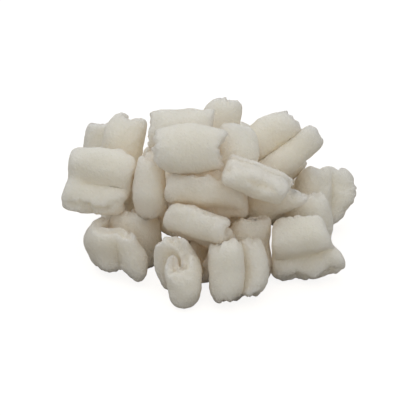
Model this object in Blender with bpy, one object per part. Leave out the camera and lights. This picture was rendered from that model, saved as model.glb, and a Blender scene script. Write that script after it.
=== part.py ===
# A loose heap of white foam packing peanuts, as it lies on a table.
# One peanut is a chopped length of a thick foam wall that curls into lobes. It is swollen in the
# middle and drawn in at its two cut ends. The heap is laid from rough places: the peanuts press each
# other aside, then each one goes down until it touches the table or what already lies there. At the
# end the heap is drawn together, and a peanut that still touches nothing moves over to the nearest.

import math

import bpy
import numpy as np
from mathutils import Matrix, Vector
from mathutils.bvhtree import BVHTree

# Sizes of one peanut, in metres
WALL = 0.0088  # thickness of the foam wall
LENGTH = 0.038  # from cut end to cut end
BIG_LOBE = 0.0087  # radius of the wall's middle line round the big lobe
SMALL_LOBE = 0.0052  # the same round the small lobe
SHELL_LOBE = 0.0125  # the same round the wide half of a curl
VALLEY = 0.0042  # the same in the groove between two lobes
WIDE_VALLEY = 0.0062  # the same in an open groove
CREASE = 0.0012  # smallest radius left on the inner side of a bend

# How the foam swelled, as shares of the sizes above
END_DRAW = 0.17  # how much narrower the section is at a cut end than in the middle
END_THIN = 0.28  # how much thinner the wall is at the rim of a cut end
TIP_THIN = 0.25  # how much thinner the wall is at its two free edges
TIP_REACH = 0.35  # how far a free edge stands out past its last station, in wall thicknesses

# How finely a peanut is drawn
STATION_TURN = 41  # degrees of bend from one station of the wall to the next
RINGS = (-1.0, -0.8, 0.0, 0.8, 1.0)  # stations along the length, from end to end
SHARP_EDGE = 50  # degrees between two faces that show an edge

# How the heap lies
GAP = 0.0003  # air left between two peanuts that touch
SLOPE = 35  # degrees from level at which the heap is seen
ROUNDS = 160  # rounds of pressing aside
HOLD = 0.09  # share of the way back to its rough place that a peanut takes in a round
SEEN_HOLD = 0.2  # the same, on top of it, across and up as seen from the front
SINK = WALL / 30  # how far a peanut sinks in a round
GATHER = WALL / 40  # how far it is drawn in towards the middle in a round
EASE = 1.3  # how much of an overlap is cleared in a pass
CORNER_FIT = 0.85  # how near a lobe's end balls come to the cut ends, in their radius
RIM_FIT = 0.8  # the same for the balls along the rims
TIGHTENINGS = 3  # times that the laid heap is drawn together
SLIDE = WALL / 3  # how far a peanut slides in at each, at most

FOAM_COLOUR = (0.82, 0.79, 0.74, 1.0)
FOAM_ROUGHNESS = 0.85

# The sections, each as the way the wall sets off, in degrees, and its bends in order: the radius of
# the middle line and the degrees turned.
SECTIONS = {
    "double": (200, ((BIG_LOBE, 235), (VALLEY, -150), (SMALL_LOBE, 225))),
    "twin": (205, ((BIG_LOBE, 225), (VALLEY, -140), (BIG_LOBE * 0.8, 215))),
    "ess": (225, ((BIG_LOBE, 225), (BIG_LOBE, -225))),
    "curl": (215, ((SHELL_LOBE, 150), (SMALL_LOBE, 200))),
    "hook": (325, ((SHELL_LOBE, -150), (SMALL_LOBE, -200))),
    "lip": (200, ((SHELL_LOBE * 0.88, 195), (WIDE_VALLEY, -105), (SMALL_LOBE, 140))),
    "open": (200, ((BIG_LOBE, 225), (WIDE_VALLEY, -125), (SMALL_LOBE, 190))),
}

# The peanuts that show from the front: name, section, size, length, taper, slant, place and turn.
# Size and length are shares of the values above, taper widens the upper end and narrows the lower
# one, and slant is how many degrees the upper cut leans.
# The place is across and up as it is seen, from the front foot of the heap, with the height of the
# peanut's middle above the table. The hidden ones have a place across, in from the front and up.
# Places are in steps, and a step grows with the peanut. The turn is in degrees: the roll about the
# peanut's own length, the tip from upright and the heading on the table.
STEP = (LENGTH + 2 * (BIG_LOBE + SMALL_LOBE) + WALL) / 74.6
SEEN = (
    ("front_pair", "double", .86, .9, 0.06, 4, (21, 18, 17), (-70, 28, 90)),
    ("front_curl", "hook", 1.08, .84, 0.00, 26, (-18, 23, 17), (-15, 6, 90)),
    ("front_left", "lip", 1.0, .87, -0.05, 5, (-66, 35, 17), (-100, 0, 90)),
    ("right_lying", "open", .95, .95, 0.00, 14, (54, 37, 20), (0, 88, 5)),
    ("front_middle", "double", .8, .9, 0.00, 4, (3, 38, 12), (90, 90, 80)),
    ("left_middle", "curl", 1.0, .9, 0.00, -5, (-40, 50, 18), (-30, 5, 90)),
    ("right_far", "open", .95, .95, 0.00, 6, (73, 65, 20), (-50, 30, 80)),
    ("lower_block", "double", .75, 1.0, 0.00, -4, (-1, 43, 30), (40, 90, -30)),
    ("lower_dome", "curl", .9, .95, 0.00, 5, (19, 47, 19), (-45, 20, 90)),
    ("centre_block", "twin", .85, 1.25, 0.00, 4, (-3.1, 71, 44), (35, 93, -5)),
    ("right_nose", "curl", .8, .9, 0.00, 8, (35, 68, 36), (0, 50, -20)),
    ("right_inner", "curl", 1.0, .95, 0.00, -5, (61, 70, 30), (-45, 25, 90)),
    ("left_inner", "double", .85, .9, 0.00, 6, (-34, 70, 42), (0, 15, 90)),
    ("left_channel", "open", .95, 1.0, 0.00, -5, (-62, 77, 44), (-40, 92, -15)),
    ("back_left", "curl", 1.1, 1.0, 0.00, 6, (-59, 99, 46), (-45, 20, 100)),
    ("back_left_inner", "curl", 1.0, .95, 0.00, -6, (-42, 101, 54), (-60, 20, 60)),
    ("ridge", "double", .7, 1.0, 0.00, 8, (24, 82, 56), (90, 115, 0)),
    ("upper_dome", "curl", .9, .95, 0.00, 5, (20, 100, 62), (-45, 50, 80)),
    ("crown_front", "curl", 1.0, .95, 0.00, -4, (-14.6, 102, 74), (0, 90, 0)),
    ("back_right", "double", .9, 1.0, 0.00, 7, (38, 98, 58), (-50, 60, 20)),
    ("crown_right", "curl", .8, .9, 0.00, -6, (9, 102, 58), (-30, 40, 70)),
    ("crown_back", "curl", .9, 1.0, 0.00, 6, (-19.2, 111, 70), (10, 90, -3)),
)
HIDDEN = (
    ("core_front", "double", .85, .9, 0.00, 0, (-12, 68, 12), (90, 90, 100)),
    ("core_middle", "ess", .8, .9, 0.00, 0, (22, 74, 18), (0, 90, 60)),
    ("core_left", "double", .9, .9, 0.00, 0, (-42, 94, 12), (90, 90, 70)),
    ("core_back", "double", .9, .9, 0.00, 0, (0, 105, 12), (90, 90, 20)),
    ("core_far_right", "double", .9, .9, 0.00, 0, (38, 106, 12), (90, 90, 120)),
    ("core_far_left", "double", .9, .9, 0.00, 0, (-44, 124, 12), (90, 90, 100)),
    ("heart_front", "double", .85, .9, 0.00, 0, (-5, 72, 38), (90, 90, 20)),
    ("heart_back", "double", .85, .9, 0.00, 0, (-12, 98, 38), (90, 90, 80)),
    ("heart_left", "double", .85, .9, 0.00, 0, (-40, 92, 38), (90, 90, 110)),
    ("heart_right", "curl", .9, .9, 0.00, 0, (38, 90, 36), (-45, 90, 30)),
    ("rear_left", "double", .9, .9, 0.00, 0, (-36, 126, 12), (90, 90, 30)),
    ("rear_right", "double", .9, .9, 0.00, 0, (12, 130, 12), (90, 90, 60)),
    ("rear_upper", "ess", .85, .9, 0.00, 0, (16, 110, 40), (0, 90, 80)),
)

# The view that the places were read from, and the ways by which a peanut may be let in
LEAN, RISE = math.cos(math.radians(SLOPE)), math.sin(math.radians(SLOPE))
VIEW = np.array([(1, 0, 0), (0, RISE, LEAN)])
DOWN = np.array((0.0, 0.0, -1.0))
LEVEL = np.array((1.0, 1.0, 0.0))
WAYS = [np.array((x, y, -1.0)) / math.hypot(1, x, y) for x in (0, -1, 1) for y in (0, -1, 1)]


def heading_of(degrees):
    """The unit vector of a heading, and the one square to it on its left."""
    angle = math.radians(degrees)
    ahead = Vector((math.cos(angle), math.sin(angle)))
    return ahead, Vector((-ahead.y, ahead.x))


def wall_line(section):
    """The stations of the middle line, each a point, its normal and the wall to its left and right."""
    heading, bends = SECTIONS[section]
    point = Vector((0.0, 0.0))
    stations = [[point, heading_of(heading)[1], WALL / 2, WALL / 2]]
    for radius, sweep in bends:
        inner = 2 if sweep > 0 else 3
        limit = min(WALL / 2, radius - CREASE)
        stations[-1][inner] = min(stations[-1][inner], limit)
        steps = max(2, round(abs(sweep) / STATION_TURN))
        turn = sweep / steps
        chord = 2 * radius * math.sin(math.radians(abs(turn)) / 2)
        for _ in range(steps):
            point = point + chord * heading_of(heading + turn / 2)[0]
            heading += turn
            stations.append([point, heading_of(heading)[1], WALL / 2, WALL / 2])
            stations[-1][inner] = limit
    for end in (0, -1):
        stations[end][2] *= 1 - TIP_THIN
        stations[end][3] *= 1 - TIP_THIN
    return stations


def middle_of(stations):
    """The middle of a section, about which it is drawn in."""
    return sum((station[0] for station in stations), Vector((0.0, 0.0))) / len(stations)


def drawn(along, taper):
    """How wide the section is at a place along the length, from -1 to 1, against its middle."""
    return (1 - END_DRAW * along * along) * (1 + taper * along)


def ring_outline(stations, draw, thin):
    """One ring of the outline: up one side of the wall, round its free edge and back down the other."""
    left = [draw * point + thin * wide * normal for point, normal, wide, _ in stations]
    right = [draw * point - thin * wide * normal for point, normal, _, wide in stations]
    tips = []
    for end, way in ((0, 1), (-1, -1)):
        point, normal, wide, _ = stations[end]
        outward = Vector((-normal.y, normal.x)) * way
        tips.append(draw * point + thin * wide * 2 * TIP_REACH * outward)
    return [tips[0]] + right + [tips[1]] + left[::-1]


def peanut_shape(section, size, length, taper, slant):
    """Corner points and quads of one peanut, its length along Z and its groove towards -Y."""
    stations = wall_line(section)
    count = len(stations)
    middle = middle_of(stations)
    points = []
    for along in RINGS:
        draw = drawn(along, taper)
        rise = math.tan(math.radians(slant)) * max(0, along)**2
        for spot in ring_outline(stations, draw, 1 - END_THIN * along**8):
            spot = size * (spot - draw * middle)
            points.append((spot.x, spot.y, length / 2 * along + rise * spot.x))
    ring = 2 * count + 2
    faces = []
    for base in range(0, ring * (len(RINGS) - 1), ring):
        for i in range(ring):
            j = (i + 1) % ring
            faces.append((base + i, base + j, base + ring + j, base + ring + i))
    # The cut ends are strips from one side of the wall to the other
    for base, turned_over in ((0, True), (ring * (len(RINGS) - 1), False)):
        right = [base + 1 + i for i in range(count)]
        left = [base + ring - 1 - i for i in range(count)]
        strip = [(base, right[0], left[0]), (base + 1 + count, left[-1], right[-1])]
        strip += [(left[i], right[i], right[i + 1], left[i + 1]) for i in range(count - 1)]
        faces += [face[::-1] for face in strip] if turned_over else strip
    return np.array(points), faces


def lobes(section):
    """Centre and middle radius of each lobe that a section closes round."""
    heading, bends = SECTIONS[section]
    point = Vector((0.0, 0.0))
    found = []
    for radius, sweep in bends:
        side = math.copysign(radius, sweep)
        centre = point + side * heading_of(heading)[1]
        if radius not in (VALLEY, WIDE_VALLEY):
            found.append((centre, radius))
        heading += sweep
        point = centre - side * heading_of(heading)[1]
    return found


def balls_of(section, size, length, taper):
    """Balls that stand for the peanut while it is pressed aside: they fill its lobes and line its rims."""
    stations = wall_line(section)
    middle = middle_of(stations)
    balls = []

    def add(point, radius, height):
        draw = drawn(2 * height / length, taper)
        spot = size * draw * (point - middle)
        balls.append((spot.x, spot.y, height, radius * draw))

    for centre, radius in lobes(section):
        outer = (radius + WALL / 2) * size
        for row in (-1, 0, 1):
            add(centre, outer, row * (length / 2 - outer * CORNER_FIT))
    rim = WALL / 2 * size
    for end in (-1, 1):
        for station in stations:
            add(station[0], rim, end * (length / 2 - rim * RIM_FIT))
    return np.array(balls)


def turned(points, turn):
    """The points rolled about their own length, tipped from upright and headed on the table."""
    roll, tip, heading = (math.radians(angle) for angle in turn)
    spin = Matrix.Rotation(heading, 3, "Z") @ Matrix.Rotation(tip, 3, "Y") @ Matrix.Rotation(roll, 3, "Z")
    return points @ np.array(spin).T


def press_aside(goals, balls):
    """The places of the peanuts once each has sunk, and has pressed the others out of its way."""
    owner = np.repeat(np.arange(len(goals)), [len(group) for group in balls])
    local = np.vstack(balls)
    radius = local[:, 3]
    reach = radius[:, None] + radius[None, :] + GAP
    reach[owner[:, None] >= owner[None, :]] = 0
    seen = np.arange(len(goals)) < len(SEEN)
    places = goals.copy()
    for turn in range(ROUNDS):
        # The pull towards the rough places fades, so that the last rounds only clear overlaps
        strength = min(1.0, max(0.0, 1.8 - 2 * turn / ROUNDS))
        off = goals - places
        pull = off * HOLD
        pull[seen] += off[seen] @ VIEW.T @ VIEW * SEEN_HOLD
        inward = (places.mean(0) - places) * LEVEL
        pull += DOWN * SINK + GATHER * inward / np.linalg.norm(inward, axis=1, keepdims=True)
        places = places + pull * strength
        for _ in range(2):
            spots = local[:, :3] + places[owner]
            square = (spots**2).sum(1)
            apart = square[:, None] + square[None, :] - 2 * spots @ spots.T
            first, second = np.nonzero(apart < reach**2)
            distance = np.sqrt(np.maximum(apart[first, second], GAP**2))
            depth = reach[first, second] - distance
            push = (spots[first] - spots[second]) * (depth * depth / distance)[:, None]
            total = np.zeros_like(goals)
            weight = np.full(len(goals), GAP / 1000)
            for side, sign in ((owner[first], 0.5), (owner[second], -0.5)):
                np.add.at(total, side, sign * push)
                np.add.at(weight, side, depth)
            places = places + EASE * total / weight[:, None]
            low = np.zeros(len(goals))
            np.minimum.at(low, owner, (local[:, :3] + places[owner])[:, 2] - radius)
            places[:, 2] -= low
    return places


def triangles(faces):
    """The faces as triangles, for measuring with."""
    return [(face[0], face[i], face[i + 1]) for face in faces for i in range(1, len(face) - 1)]


def move_peanut(peanut, move):
    """Moves a peanut and renews what the measuring needs."""
    peanut["points"] = peanut["points"] + move
    peanut["low"] = peanut["points"].min(0)
    peanut["high"] = peanut["points"].max(0)
    peanut["tree"] = BVHTree.FromPolygons(peanut["points"].tolist(), peanut["tris"])


def skin_of(peanut):
    """The corner points of the same shape, grown by the air gap."""
    points = peanut["points"]
    corners = np.array(peanut["tris"])
    a, b, c = (points[corners[:, k]] for k in range(3))
    square = np.cross(b - a, c - a)
    normals = np.zeros_like(points)
    for k in range(3):
        np.add.at(normals, corners[:, k], square)
    return points + GAP * normals / np.linalg.norm(normals, axis=1, keepdims=True)


def touches(points, tris, laid):
    """Whether the shape cuts into anything that already lies in the heap."""
    low, high = points.min(0), points.max(0)
    near = [other for other in laid if (other["low"] < high).all() and (other["high"] > low).all()]
    if not near:
        return False
    tree = BVHTree.FromPolygons(points.tolist(), tris)
    return any(tree.overlap(other["tree"]) for other in near)


def free_way(skin, tris, laid, way, reach):
    """How far the shape can go along a direction before it touches something, up to a reach."""
    done = 0.0
    while done < reach:
        ahead = min(done + WALL / 4, reach)
        if touches(skin + way * ahead, tris, laid):
            while ahead - done > GAP / 10:
                middle = (done + ahead) / 2
                if touches(skin + way * middle, tris, laid):
                    ahead = middle
                else:
                    done = middle
            return done
        done = ahead
    return reach


def settle(peanut, laid):
    """Takes a peanut out by the nearest free way and lets it down until it touches."""
    skin, tris = skin_of(peanut), peanut["tris"]
    low = peanut["low"][2]
    back = 0.0
    way = None
    while way is None:
        free = (way for way in WAYS
                if low >= way[2] * back and not touches(skin - way * back, tris, laid))
        way = next(free, None)
        back += 0 if way is not None else WALL / 16
    reach = (way[2] * back - low) / way[2]
    move_peanut(peanut, way * (free_way(skin - way * back, tris, laid, way, reach) - back))


def tighten(laid):
    """Slides every peanut in towards the middle of the heap and lets it down, each until it touches."""
    middle = np.mean([peanut["low"] + peanut["high"] for peanut in laid], axis=0) / 2
    for peanut in laid:
        others = [other for other in laid if other is not peanut]
        inward = (middle - (peanut["low"] + peanut["high"]) / 2) * LEVEL
        inward /= np.linalg.norm(inward)
        for way, reach in ((inward, SLIDE), (DOWN, peanut["low"][2])):
            skin = skin_of(peanut)
            move_peanut(peanut, way * free_way(skin, peanut["tris"], others, way, reach))


def shortest_way(one, other):
    """How far apart two peanuts are, and the way across, from the corners of either to the other's faces."""
    best, across = math.inf, None
    for start, end, sign in ((one, other, 1), (other, one, -1)):
        for point in start["points"].tolist():
            spot, _, _, distance = end["tree"].find_nearest(point)
            if distance < best:
                best, across = distance, sign * (np.array(spot) - point)
    return best, across


def join_up(laid):
    """Moves each peanut, or group of them, that touches nothing else over to the one nearest to it."""
    groups = [[peanut] for peanut in laid]
    while len(groups) > 1:
        group = min(groups, key=len)
        best, across, home = math.inf, None, None
        for other_group in groups:
            for other in other_group if other_group is not group else ():
                for one in group:
                    apart = np.maximum(one["low"] - other["high"], other["low"] - one["high"])
                    if apart.max() < best:
                        distance, way = shortest_way(one, other)
                        if distance < best:
                            best, across, home = distance, way, other_group
        if best > 2 * GAP:
            reach = np.linalg.norm(across)
            if min(one["low"][2] for one in group) < reach:
                # What stands on the table slides along it, towards the middle of the heap
                middle = np.mean([peanut["low"] + peanut["high"] for peanut in laid], axis=0)
                across = (middle - np.mean([one["low"] + one["high"] for one in group], axis=0)) * LEVEL
                reach = LENGTH
            across /= np.linalg.norm(across)
            others = [peanut for peanut in laid if not any(peanut is one for one in group)]
            step = min(free_way(skin_of(one), one["tris"], others, across, reach) for one in group)
            for one in group:
                move_peanut(one, step * across)
        home.extend(group)
        groups = [kept for kept in groups if kept is not group]


def foam_material():
    material = bpy.data.materials.new("white_foam")
    material.use_nodes = True
    shader = material.node_tree.nodes["Principled BSDF"]
    shader.inputs["Base Color"].default_value = FOAM_COLOUR
    shader.inputs["Roughness"].default_value = FOAM_ROUGHNESS
    return material


def lay_heap():
    """Name, points and faces of every peanut where it lies, over the middle of the heap's own box."""
    shapes, balls, goals = [], [], []
    for name, section, size, length, taper, slant, place, turn in SEEN + HIDDEN:
        points, faces = peanut_shape(section, size, length * LENGTH, taper, slant)
        points = turned(points, turn)
        middle = (points.min(0) + points.max(0)) / 2
        shapes.append((name, points - middle, faces))
        group = balls_of(section, size, length * LENGTH, taper)
        group[:, :3] = turned(group[:, :3], turn) - middle
        balls.append(group)
        across, up, height = place
        goals.append((across, up, height))
        if len(goals) <= len(SEEN):
            goals[-1] = (across, (up - LEAN * height) / RISE, height)
    places = press_aside(STEP * np.array(goals), balls)
    feet = [place[2] + points[:, 2].min() for place, (_, points, _) in zip(places, shapes)]
    laid = []
    for i in np.argsort(feet):
        name, points, faces = shapes[i]
        peanut = {"name": name, "points": points, "faces": faces, "tris": triangles(faces)}
        move_peanut(peanut, places[i])
        settle(peanut, laid)
        laid.append(peanut)
    for _ in range(TIGHTENINGS):
        tighten(laid)
    join_up(laid)
    low = np.min([peanut["low"] for peanut in laid], axis=0)
    high = np.max([peanut["high"] for peanut in laid], axis=0)
    centre = (low + high) / 2 * LEVEL
    return [(peanut["name"], peanut["points"] - centre, peanut["faces"]) for peanut in laid]


def add_peanut(name, points, faces, foam):
    """One peanut as an object of its own, with its origin in its middle."""
    middle = (points.min(0) + points.max(0)) / 2
    mesh = bpy.data.meshes.new(name)
    mesh.from_pydata((points - middle).tolist(), [], faces)
    mesh.shade_smooth()
    mesh.set_sharp_from_angle(angle=math.radians(SHARP_EDGE))
    mesh.materials.append(foam)
    peanut = bpy.data.objects.new(name, mesh)
    peanut.location = middle
    bpy.context.scene.collection.objects.link(peanut)


def main():
    for obj in list(bpy.data.objects):
        bpy.data.objects.remove(obj)
    foam = foam_material()
    for name, points, faces in lay_heap():
        add_peanut(name, points, faces, foam)


main()
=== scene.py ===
# A loose heap of white foam packing peanuts on a pale table, in soft studio light
import math

import bmesh
import bpy
import numpy as np
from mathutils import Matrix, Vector, noise
from mathutils.bvhtree import BVHTree
from mathutils.kdtree import KDTree


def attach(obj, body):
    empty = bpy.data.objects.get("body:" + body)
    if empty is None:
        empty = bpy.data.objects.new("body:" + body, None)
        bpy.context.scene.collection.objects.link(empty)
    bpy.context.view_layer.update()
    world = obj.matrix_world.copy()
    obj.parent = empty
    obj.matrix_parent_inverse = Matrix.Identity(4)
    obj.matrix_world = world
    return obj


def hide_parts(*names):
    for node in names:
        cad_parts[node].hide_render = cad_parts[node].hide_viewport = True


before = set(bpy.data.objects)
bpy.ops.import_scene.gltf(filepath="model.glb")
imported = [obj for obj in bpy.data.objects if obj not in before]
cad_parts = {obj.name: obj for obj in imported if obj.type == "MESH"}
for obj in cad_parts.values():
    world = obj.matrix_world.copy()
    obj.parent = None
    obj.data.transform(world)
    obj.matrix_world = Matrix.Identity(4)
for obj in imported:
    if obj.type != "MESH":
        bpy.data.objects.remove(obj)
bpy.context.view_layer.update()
print("frame: %d peanuts" % len(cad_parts))

# how one peanut is formed, lengths in metres
peanut = {
    "subdivisions": 3,     # how finely the solid is rounded before it gets its skin
    "softening": 0.5,      # how strongly the skin is then smoothed
    "softPasses": 2,
    "cell": 0.00095,       # size of a face of the skin on the peanuts that show
    "hiddenCell": 0.0013,  # the same deep in the heap
    "rimCrease": 0.5,      # 0 gives a round cut rim, 1 a sharp one
    "drawIn": 0.14,        # how much narrower the cut ends are, as a share
    "bend": 0.0022,        # how far a peanut bows
    "swell": 0.0011,       # what rounding takes off, put back
    "hiddenSwell": 0.0018,  # more for the ones inside, which press into the gaps
    "lump": 0.0016,        # soft dents and swellings
    "lumpSize": 0.013,
    "pucker": 0.00035,     # shallow puckers of the skin
    "puckerSize": 0.0032,
    "tear": 0.0028,        # how ragged the cut is, along the peanut
    "tearSize": 0.011,
    "horn": 0.006,         # single tips that were torn rather than cut
    "hornSize": 0.010,
    "chip": 0.0020,        # small chips along the cut
    "chipSize": 0.0036,
    "dish": 0.0034,        # how far the cut face lies behind its rim, at most
    "dome": 0.0010,        # how far it stands out before it, at most
    "dishWidth": 0.003,
    "openCell": 0.0008,    # burst cells on the cut face
    "openCellSize": 0.0024,
    "noiseStep": (3.7, 1.9, 5.3),  # moves the noise on from one peanut to the next
    "tableGap": 0.0001,    # how far the skin stays above the table
}

# how ragged the cuts of single peanuts are beside the others
raggedness = {
    "back_left": 0.4,
    "back_left_inner": 0.4,
    "crown_back": 0.4,
    "front_left": 0.5,
    "left_middle": 0.4,
    "upper_dome": 0.4,
    "right_far": 0.6,
    "front_pair": 1.6,
    "front_curl": 1.3,
    "left_channel": 1.3,
    "right_nose": 1.4,
}

# tips, notches and dents of single peanuts: where in the peanut's box, from 0 to 1 along each
# side, how far the foam is drawn out or pushed in there, and how far round it gives
ownForms = {
    "front_left": [
        {"spot": (0.6, 0.0, 0.0), "pull": (0, 0, 0.01), "reach": 0.01},
        {"spot": (0.0, 0.3, 0.0), "pull": (0.004, 0, 0.005), "reach": 0.013},
        {"spot": (1.0, 0.0, 0.0), "pull": (-0.001, -0.003, -0.002), "reach": 0.008},
        {"spot": (0.95, 0.0, 0.9), "pull": (-0.001, 0, -0.004), "reach": 0.01},
    ],
    "front_pair": [
        {"spot": (0.62, 0.0, 0.0), "pull": (0, 0, 0.008), "reach": 0.007},
        {"spot": (1.0, 0.1, 0.1), "pull": (0, 0, 0.004), "reach": 0.01},
        {"spot": (0.78, 0.2, 1.0), "pull": (0, 0, 0.004), "reach": 0.007},
        {"spot": (0.1, 0.3, 1.0), "pull": (0, 0, 0.003), "reach": 0.006},
    ],
    "front_curl": [
        {"spot": (0.75, 0.0, 0.75), "pull": (0, 0, -0.006), "reach": 0.012},
        {"spot": (0.0, 0.5, 0.0), "pull": (0.003, 0, 0.005), "reach": 0.012},
    ],
    "right_lying": [
        {"spot": (1.0, 0.1, 0.1), "pull": (0.006, -0.002, 0.003), "reach": 0.01},
        {"spot": (0.9, 0.0, 0.38), "pull": (0, 0.002, 0.004), "reach": 0.009},
    ],
    "crown_back": [
        {"spot": (1.0, 0.5, 0.95), "pull": (0.001, 0, 0.003), "reach": 0.005},
        {"spot": (0.3, 0.5, 1.0), "pull": (0, 0, -0.002), "reach": 0.014},
    ],
    "back_left": [
        {"spot": (0.1, 0.5, 1.0), "pull": (0.002, 0, 0.003), "reach": 0.012},
        {"spot": (0.65, 0.5, 1.0), "pull": (0, 0, 0.002), "reach": 0.009},
        {"spot": (1.0, 0.4, 1.0), "pull": (-0.001, 0, -0.004), "reach": 0.008},
    ],
    "right_far": [
        {"spot": (0.15, 0.2, 1.0), "pull": (0.001, 0, 0.007), "reach": 0.005},
        {"spot": (0.6, 0.3, 1.0), "pull": (0, 0, -0.005), "reach": 0.006},
        {"spot": (1.0, 0.3, 1.0), "pull": (-0.003, 0, -0.004), "reach": 0.008},
        {"spot": (1.0, 0.3, 0.0), "pull": (-0.005, 0, 0.005), "reach": 0.009},
    ],
    "left_channel": [
        {"spot": (0.0, 0.2, 0.75), "pull": (0.001, 0, 0.004), "reach": 0.007},
        {"spot": (0.0, 0.1, 0.3), "pull": (-0.001, 0, -0.001), "reach": 0.007},
    ],
    "back_right": [
        {"spot": (1.0, 0.2, 0.6), "pull": (0.005, 0, 0.001), "reach": 0.007},
        {"spot": (0.85, 0.3, 1.0), "pull": (0.002, 0, 0.004), "reach": 0.006},
    ],
    "right_nose": [
        {"spot": (1.0, 0.1, 0.6), "pull": (0.004, -0.002, 0.002), "reach": 0.006},
    ],
}


def smoothStep(low, high, value):
    share = np.clip((value - low) / (high - low), 0, 1)
    return share * share * (3 - 2 * share)


def ownForm(name, points):
    low, high = points.min(0), points.max(0)
    for form in ownForms.get(name, ()):
        # the point of the skin nearest to the spot, and how far all others lie from it
        away = np.linalg.norm(points - (low + (high - low) * form["spot"]), axis=1)
        away = np.linalg.norm(points - points[int(np.argmin(away))], axis=1)
        points = points + (1 - smoothStep(0, 2 * form["reach"], away))[:, None] * form["pull"]
    return points


def isHidden(piece):
    # those deep in the heap, of which the photo shows nothing
    return piece.name.startswith(("core_", "heart_"))


def lengthAxis(points, corners):
    # the two cut ends are the widest flat faces, so their normal runs along the peanut
    a, b, c = (points[corners[:, k]] for k in range(3))
    square = np.cross(b - a, c - a)
    area = np.linalg.norm(square, axis=1)
    normal = square / np.maximum(area, 1e-12)[:, None]
    alike = (normal @ normal.T > 0.9995) @ area
    return normal[int(np.argmax(alike))]


def copyOfNode(node, name):
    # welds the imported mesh, gives back its quads and creases the cut rims
    mesh = bpy.data.meshes.new(name)
    build = bmesh.new()
    build.from_mesh(node.data)
    bmesh.ops.remove_doubles(build, verts=build.verts, dist=1e-5)
    bmesh.ops.join_triangles(build, faces=build.faces, cmp_seam=False, cmp_sharp=False,
                             angle_face_threshold=0.3, angle_shape_threshold=1.2)
    build.verts.ensure_lookup_table()
    points = np.array([v.co for v in build.verts])
    corners = np.array([[loop.vert.index for loop in tri] for tri in build.calc_loop_triangles()])
    axis = lengthAxis(points, corners)
    crease = build.edges.layers.float.get("crease_edge") or build.edges.layers.float.new("crease_edge")
    for edge in build.edges:
        if len(edge.link_faces) == 2:
            ends = [abs(Vector(axis).dot(face.normal)) > 0.99 for face in edge.link_faces]
            if ends[0] != ends[1]:
                edge[crease] = peanut["rimCrease"]
    build.to_mesh(mesh)
    build.free()
    return mesh, axis, points


def applied(piece):
    # the piece with its modifiers made real
    graph = bpy.context.evaluated_depsgraph_get()
    graph.update()
    mesh = bpy.data.meshes.new_from_object(piece.evaluated_get(graph))
    piece.modifiers.clear()
    piece.data = mesh
    return piece


def noiseAt(points, size, shift):
    return np.array([noise.noise(Vector(p)) for p in points / size + shift])


def cellsAt(points, size, shift):
    # 0 in the middle of a cell, 1 on its wall
    out = np.empty(len(points))
    for i, p in enumerate(points / size + shift):
        near = noise.voronoi(Vector(p))[0]
        out[i] = near[0] / (near[1] + 1e-6)
    return out


def vertexArrays(mesh):
    count = len(mesh.vertices)
    points, normals = np.empty(count * 3), np.empty(count * 3)
    mesh.vertices.foreach_get("co", points)
    mesh.vertex_normals.foreach_get("vector", normals)
    return points.reshape(-1, 3), normals.reshape(-1, 3)


def fromRim(points, onCut):
    # 0 at the rim of a cut face and 1 well inside it
    skin = points[onCut < 0.5]
    rim = KDTree(len(skin))
    for i, point in enumerate(skin):
        rim.insert(point, i)
    rim.balance()
    away = np.zeros(len(points))
    for i in np.nonzero(onCut > 0.1)[0]:
        away[i] = rim.find(points[i])[2]
    return smoothStep(0, peanut["dishWidth"], away)


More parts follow.
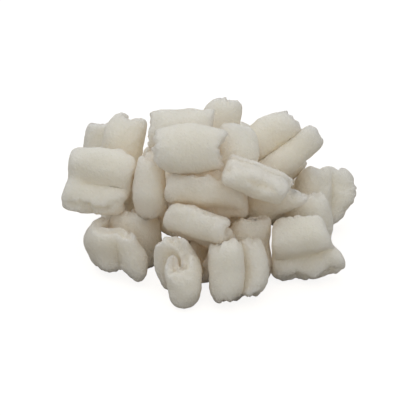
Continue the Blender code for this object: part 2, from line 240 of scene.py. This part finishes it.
def foamPeanut(node, order):
    name = node.name + "_foam"
    hidden = isHidden(node)
    mesh, axis, corners = copyOfNode(node, name)
    piece = bpy.data.objects.new(name, mesh)
    bpy.context.scene.collection.objects.link(piece)

    rounding = piece.modifiers.new("rounding", "SUBSURF")
    rounding.levels = rounding.render_levels = peanut["subdivisions"]
    skin = piece.modifiers.new("skin", "REMESH")
    skin.mode = "VOXEL"
    skin.voxel_size = peanut["hiddenCell"] if hidden else peanut["cell"]
    soft = piece.modifiers.new("soft", "SMOOTH")
    soft.factor = peanut["softening"]
    soft.iterations = peanut["softPasses"]
    applied(piece)

    # where each point lies between the two cuts, from -1 to 1
    points, normals = vertexArrays(piece.data)
    along = corners @ axis
    middle, half = (along.max() + along.min()) / 2, (along.max() - along.min()) / 2
    place = (points @ axis - middle) / half
    flat = points - np.outer(points @ axis, axis)
    shift = np.array(peanut["noiseStep"]) * (order + 1)
    # 1 on the two cut faces, and rising to 1 towards them
    onCut = smoothStep(0.75, 0.95, np.abs(normals @ axis)) * smoothStep(0.8, 0.9, np.abs(place))
    nearCut = smoothStep(0.45, 0.97, np.abs(place))

    # a rounder barrel than the plain loft, a little bowed
    core = corners.mean(0)
    across = points - core - np.outer((points - core) @ axis, axis)
    points -= peanut["drawIn"] * (np.abs(place)**3)[:, None] * across
    side = np.cross(axis, (math.sin(order * 2.4), math.cos(order * 2.4), 0.3))
    points += peanut["bend"] * (place**2 - 0.3)[:, None] * side / np.linalg.norm(side)

    # soft dents all over, and a finer pucker in the skin
    out = peanut["hiddenSwell"] if hidden else peanut["swell"]
    out = out + peanut["lump"] * noiseAt(points, peanut["lumpSize"], shift)
    out += peanut["pucker"] * noiseAt(points, peanut["puckerSize"], shift)
    # burst cells on the cut faces, some of which are dished and some domed
    out -= onCut * peanut["openCell"] * (1 - cellsAt(points, peanut["openCellSize"], shift))
    swing = np.where(place > 0, math.sin(order * 1.7), math.cos(order * 2.9)) * 0.5 + 0.5
    hollow = swing * (peanut["dish"] + peanut["dome"]) - peanut["dish"]
    out += onCut * fromRim(points, onCut) * hollow
    points += out[:, None] * normals
    # the cut is ragged: each end is longer here and shorter there
    seed = shift + np.sign(place)[:, None] * 11.0
    ragged = peanut["tear"] * noiseAt(flat, peanut["tearSize"], seed)
    ragged += peanut["chip"] * noiseAt(flat, peanut["chipSize"], seed)
    ragged += peanut["horn"] * np.maximum(noiseAt(flat, peanut["hornSize"], seed + 7) - 0.25, 0)
    ragged *= raggedness.get(node.name, 1.0)
    points += (np.sign(place) * nearCut * ragged)[:, None] * axis
    points = ownForm(node.name, points)
    # what stands on the table is flat there
    points[:, 2] = np.maximum(points[:, 2], peanut["tableGap"])

    mesh = piece.data
    mesh.name = name
    setPoints(mesh, points)
    mesh.shade_smooth()
    return piece


def setPoints(mesh, points):
    mesh.vertices.foreach_set("co", points.ravel())
    mesh.update()


def pressTogether(heap):
    # where two peanuts would run into each other, each gives half of the way, but one that shows
    # doesn't give to one deep in the heap
    trees, boxes, spots = [], [], []
    for piece in heap:
        points, _ = vertexArrays(piece.data)
        faces = [face.vertices[:] for face in piece.data.polygons]
        trees.append(BVHTree.FromPolygons(points.tolist(), faces))
        boxes.append((points.min(0), points.max(0)))
        spots.append(points)
    for one, piece in enumerate(heap):
        moved = spots[one].copy()
        for other in range(len(heap)):
            low, high = boxes[other]
            if other == one or (boxes[one][0] > high).any() or (boxes[one][1] < low).any():
                continue
            gives = 0.5 + 0.5 * (isHidden(piece) - isHidden(heap[other]))
            close = np.nonzero(((spots[one] > low) & (spots[one] < high)).all(1))[0]
            for i in close:
                spot = Vector(spots[one][i])
                skin, normal, _, _ = trees[other].find_nearest(spot)
                if (spot - skin).dot(normal) < 0:
                    moved[i] += (np.array(skin) - spots[one][i]) * gives
        setPoints(piece.data, moved)


# the foam: off-white, dull, with light going some way into it
foam = {
    "colour": (0.95, 0.883, 0.765, 1),
    # the darker, warmer colour, for soft patches of tone and for painted shade in the cell walls
    "shade": (0.93, 0.85, 0.705, 1),
    "roughness": 0.85,
    "specular": 0.25,
    "subsurface": 1.0,
    "radius": (1.0, 1.0, 1.0),
    "depth": 0.02,
    "patches": 70,       # soft patches of the colour in a metre
    "paintedShadeInCellWalls": -0.7,   # how strongly painted shade darkens and warms the recessed cell walls
    "lighter": 0.25,     # how far the whole leans to the lighter colour
    "cells": 700,        # cells of the skin in a metre
    "cellHeight": 0.0006,
    "cellStrength": 0.8,
    "grain": 1800,       # finer grain on top of them
    "grainHeight": 0.0004,
    "grainStrength": 0.6,
}


def foamMaterial():
    material = bpy.data.materials.new("whiteFoam")
    material.use_nodes = True
    nodes, links = material.node_tree.nodes, material.node_tree.links
    shader = nodes["Principled BSDF"]
    shader.inputs["Roughness"].default_value = foam["roughness"]
    shader.inputs["Subsurface Weight"].default_value = foam["subsurface"]
    shader.inputs["Subsurface Radius"].default_value = foam["radius"]
    shader.inputs["Subsurface Scale"].default_value = foam["depth"]
    shader.inputs["Specular IOR Level"].default_value = foam["specular"]
    place = nodes.new("ShaderNodeTexCoord")

    cells = nodes.new("ShaderNodeTexVoronoi")
    cells.feature = "SMOOTH_F1"
    cells.inputs["Scale"].default_value = foam["cells"]
    cells.inputs["Smoothness"].default_value = 0.4
    grain = nodes.new("ShaderNodeTexNoise")
    grain.inputs["Scale"].default_value = foam["grain"]
    grain.inputs["Detail"].default_value = 2
    patches = nodes.new("ShaderNodeTexNoise")
    patches.inputs["Scale"].default_value = foam["patches"]
    patches.inputs["Detail"].default_value = 3
    for texture in (cells, grain, patches):
        links.new(place.outputs["Object"], texture.inputs["Vector"])

    colour = nodes.new("ShaderNodeMix")
    colour.data_type = "RGBA"
    colour.inputs["A"].default_value = foam["shade"]
    colour.inputs["B"].default_value = foam["colour"]
    # the colour turns a little with soft patches of tone, and painted shade turns it darker and warmer
    # in the cell walls, which the bump presses in
    mixed = nodes.new("ShaderNodeMath")
    mixed.operation = "MULTIPLY_ADD"
    mixed.inputs[1].default_value = foam["paintedShadeInCellWalls"]
    links.new(cells.outputs["Distance"], mixed.inputs[0])
    links.new(patches.outputs["Fac"], mixed.inputs[2])
    lift = nodes.new("ShaderNodeMath")
    lift.inputs[1].default_value = foam["lighter"]
    lift.use_clamp = True
    links.new(mixed.outputs["Value"], lift.inputs[0])
    links.new(lift.outputs["Value"], colour.inputs["Factor"])
    links.new(colour.outputs["Result"], shader.inputs["Base Color"])

    cellBump = nodes.new("ShaderNodeBump")
    cellBump.invert = True
    cellBump.inputs["Distance"].default_value = foam["cellHeight"]
    cellBump.inputs["Strength"].default_value = foam["cellStrength"]
    grainBump = nodes.new("ShaderNodeBump")
    grainBump.inputs["Distance"].default_value = foam["grainHeight"]
    grainBump.inputs["Strength"].default_value = foam["grainStrength"]
    links.new(cells.outputs["Distance"], cellBump.inputs["Height"])
    links.new(grain.outputs["Fac"], grainBump.inputs["Height"])
    links.new(cellBump.outputs["Normal"], grainBump.inputs["Normal"])
    links.new(grainBump.outputs["Normal"], shader.inputs["Normal"])
    return material


whiteFoam = foamMaterial()
names = sorted(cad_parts)
heap = [foamPeanut(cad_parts[name], order) for order, name in enumerate(names)]
print("peanuts formed")
pressTogether(heap)
print("peanuts pressed together")
total = 0
for name, piece in zip(names, heap):
    piece.data.materials.clear()
    piece.data.materials.append(whiteFoam)
    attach(piece, "root")
    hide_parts(name)
    total += sum(len(face.vertices) - 2 for face in piece.data.polygons)
print("peanuts dressed: %d triangles" % total)


# a pale table that shows white, with the heap's own shadow on it
table = {
    "size": 6.0,
    "colour": (0.34, 0.31, 0.27, 1),
    "roughness": 0.9,
    "lift": 0.86,   # what the eye sees beyond the light on it
}


def paleTable():
    half = table["size"] / 2
    mesh = bpy.data.meshes.new("table")
    mesh.from_pydata([(-half, -half, 0), (half, -half, 0), (half, half, 0), (-half, half, 0)],
                     [], [(0, 1, 2, 3)])
    top = bpy.data.objects.new("table", mesh)
    bpy.context.scene.collection.objects.link(top)
    material = bpy.data.materials.new("paleTable")
    material.use_nodes = True
    nodes, links = material.node_tree.nodes, material.node_tree.links
    shader = nodes["Principled BSDF"]
    shader.inputs["Base Color"].default_value = table["colour"]
    shader.inputs["Roughness"].default_value = table["roughness"]
    shader.inputs["Specular IOR Level"].default_value = 0.0
    shader.inputs["Emission Color"].default_value = (1, 1, 1, 1)
    # the eye sees the table a little lighter than it lights the heap
    path = nodes.new("ShaderNodeLightPath")
    seen = nodes.new("ShaderNodeMath")
    seen.operation = "MULTIPLY"
    seen.inputs[1].default_value = table["lift"]
    links.new(path.outputs["Is Camera Ray"], seen.inputs[0])
    links.new(seen.outputs["Value"], shader.inputs["Emission Strength"])
    mesh.materials.append(material)


paleTable()

# soft light from above and behind, some from the front, and enough bounces for the gaps
studio = {
    "sky": 0.43,
    "aim": (0, 0, 0.04),
    "bounces": 32,
    "diffuseBounces": 24,
    "lamps": {
        "key": {"place": (-0.3, 0.35, 1.5), "size": 2.2, "power": 9.0},
        "fill": {"place": (0.15, -1.1, 1.15), "size": 1.5, "power": 4.2},
    },
}


def studioLight():
    world = bpy.data.worlds.new("studio")
    bpy.context.scene.world = world
    world.use_nodes = True
    nodes, links = world.node_tree.nodes, world.node_tree.links
    sky = nodes["Background"]
    sky.inputs["Color"].default_value = (1, 1, 1, 1)
    path = nodes.new("ShaderNodeLightPath")
    direct = nodes.new("ShaderNodeMath")
    direct.operation = "MAXIMUM"
    either = nodes.new("ShaderNodeMath")
    either.operation = "MAXIMUM"
    strength = nodes.new("ShaderNodeMapRange")
    strength.inputs["To Min"].default_value = studio["sky"]
    strength.inputs["To Max"].default_value = 1.0
    links.new(path.outputs["Is Camera Ray"], direct.inputs[0])
    links.new(path.outputs["Is Glossy Ray"], direct.inputs[1])
    links.new(direct.outputs["Value"], either.inputs[0])
    links.new(path.outputs["Is Transmission Ray"], either.inputs[1])
    links.new(either.outputs["Value"], strength.inputs["Value"])
    links.new(strength.outputs["Result"], sky.inputs["Strength"])

    for name, values in studio["lamps"].items():
        data = bpy.data.lights.new(name, "AREA")
        data.energy = values["power"]
        data.size = values["size"]
        lamp = bpy.data.objects.new(name, data)
        lamp.location = values["place"]
        facing = Vector(studio["aim"]) - lamp.location
        lamp.rotation_euler = facing.to_track_quat("-Z", "Y").to_euler()
        bpy.context.scene.collection.objects.link(lamp)


studioLight()
bpy.context.scene.cycles.max_bounces = studio["bounces"]
bpy.context.scene.cycles.diffuse_bounces = studio["diffuseBounces"]
bpy.context.scene.view_settings.view_transform = "Standard"

# the camera looks down on the heap from its front
view = {
    "height": 31,                # degrees above level
    "distance": 1.2,
    "stepPerPixel": 0.00062,
    "aim": (0, 0, 0.04),
    "aimPixel": (211.5, 182.5),  # where in the picture the aim lies
    "picture": 416,              # pixels along each side
    "sensor": 36,
}


def photoCamera():
    data = bpy.data.cameras.new("camera")
    camera = bpy.data.objects.new("camera", data)
    bpy.context.scene.collection.objects.link(camera)
    bpy.context.scene.camera = camera
    rise = math.radians(view["height"])
    back = Vector((0, -math.cos(rise), math.sin(rise)))
    up = Vector((0, math.sin(rise), math.cos(rise)))
    centre = view["picture"] / 2
    right = (centre - view["aimPixel"][0]) * view["stepPerPixel"]
    lift = (view["aimPixel"][1] - centre) * view["stepPerPixel"]
    target = Vector(view["aim"]) + Vector((right, 0, 0)) + up * lift
    camera.location = target + back * view["distance"]
    camera.rotation_euler = (math.pi / 2 - rise, 0, 0)
    data.sensor_width = view["sensor"]
    data.lens = view["sensor"] * view["distance"] / (view["picture"] * view["stepPerPixel"])


photoCamera()
print("table, light and camera placed")
